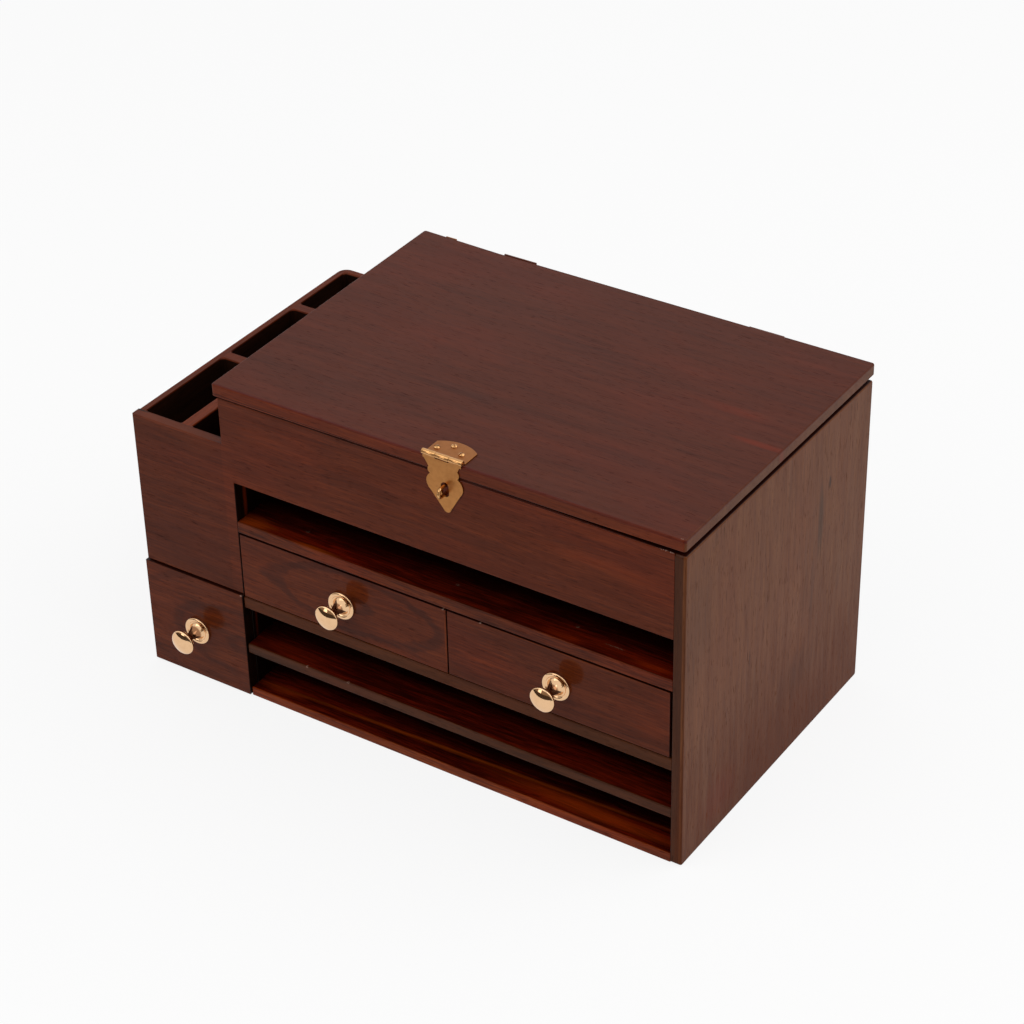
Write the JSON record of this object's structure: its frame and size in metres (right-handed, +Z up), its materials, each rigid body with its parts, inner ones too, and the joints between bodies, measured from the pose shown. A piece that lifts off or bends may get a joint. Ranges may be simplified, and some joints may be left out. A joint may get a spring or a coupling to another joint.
{
  "type": "desk organizer",
  "caption": "Wooden desk organizer: lift-lid compartment with brass hasp over open letter slots and small drawers, beside a lower annex of pen cells over its own drawer",
  "frame": {"origin": "centre of the footprint of the case and annex boards, on the face they stand on", "axes": "+X from the low annex towards the tall case, +Y from the drawer fronts to the back, +Z up"},
  "size_m": [0.4077, 0.2567, 0.2403],
  "materials": {
    "case_wood": "satin lacquer over red-brown stain",
    "front_wood": "satin lacquer over red-brown stain",
    "lid_wood": "satin lacquer over red-brown stain",
    "drawer_box_wood": "thin stain, little lacquer",
    "knob_brass": "polished",
    "hasp_brass": "satin",
    "stained_hinge": "stained over with the case",
    "steel_screw": "plain"
  },
  "bodies": {
    "case": {"annex_back_panel": "case_wood", "annex_base": "case_wood", "annex_floor": "case_wood", "annex_side_panel": "case_wood", "back_panel": "case_wood", "base_board": "case_wood", "case_hinge_screws": "stained_hinge", "compartment_floor": "case_wood", "drawer_divider": "case_wood", "drawer_shelf": "case_wood", "front_board": "front_wood", "front_cell_divider": "case_wood", "left_hinge_case_leaf": "stained_hinge", "left_side_panel": "case_wood", "long_cell_divider": "case_wood", "rear_cell_divider": "case_wood", "right_hinge_case_leaf": "stained_hinge", "right_side_panel": "case_wood", "slot_shelf": "case_wood", "staple": "hasp_brass", "upper_shelf": "case_wood"},
    "lid": {"hasp_pin": "hasp_brass", "hasp_plate": "hasp_brass", "hasp_screws": "hasp_brass", "left_hinge_lid_leaf": "stained_hinge", "left_hinge_pin": "stained_hinge", "lid_back_tab": "hasp_brass", "lid_board": "lid_wood", "lid_hinge_screws": "stained_hinge", "right_hinge_lid_leaf": "stained_hinge", "right_hinge_pin": "stained_hinge"},
    "hasp": {"hasp_leaf": "hasp_brass"},
    "left_drawer": {"left_drawer_back": "drawer_box_wood", "left_drawer_bottom": "drawer_box_wood", "left_drawer_front": "front_wood", "left_drawer_knob": "knob_brass", "left_drawer_knob_screw": "steel_screw", "left_drawer_left_side": "drawer_box_wood", "left_drawer_right_side": "drawer_box_wood"},
    "right_drawer": {"right_drawer_back": "drawer_box_wood", "right_drawer_bottom": "drawer_box_wood", "right_drawer_front": "front_wood", "right_drawer_knob": "knob_brass", "right_drawer_knob_screw": "steel_screw", "right_drawer_left_side": "drawer_box_wood", "right_drawer_right_side": "drawer_box_wood"},
    "annex_drawer": {"annex_drawer_back": "drawer_box_wood", "annex_drawer_bottom": "drawer_box_wood", "annex_drawer_front": "front_wood", "annex_drawer_knob": "knob_brass", "annex_drawer_knob_screw": "steel_screw", "annex_drawer_left_side": "drawer_box_wood", "annex_drawer_right_side": "drawer_box_wood"}
  },
  "joints": [
    {"name": "lid_hinge", "type": "hinge", "parent": "case", "child": "lid", "pos_m": [0.0342, 0.1193, 0.22745], "axis": [-1, 0, 0], "range_deg": [0, 105]},
    {"name": "hasp_hinge", "type": "hinge", "parent": "lid", "child": "hasp", "pos_m": [0.0379, -0.1141, 0.2385], "axis": [-1, 0, 0], "range_deg": [0, 165]},
    {"name": "left_drawer_slide", "type": "slide", "parent": "case", "child": "left_drawer", "axis": [0, -1, 0], "range_m": [0, 0.16]},
    {"name": "right_drawer_slide", "type": "slide", "parent": "case", "child": "right_drawer", "axis": [0, -1, 0], "range_m": [0, 0.16]},
    {"name": "annex_drawer_slide", "type": "slide", "parent": "case", "child": "annex_drawer", "axis": [0, -1, 0], "range_m": [0, 0.15]}
  ]
}
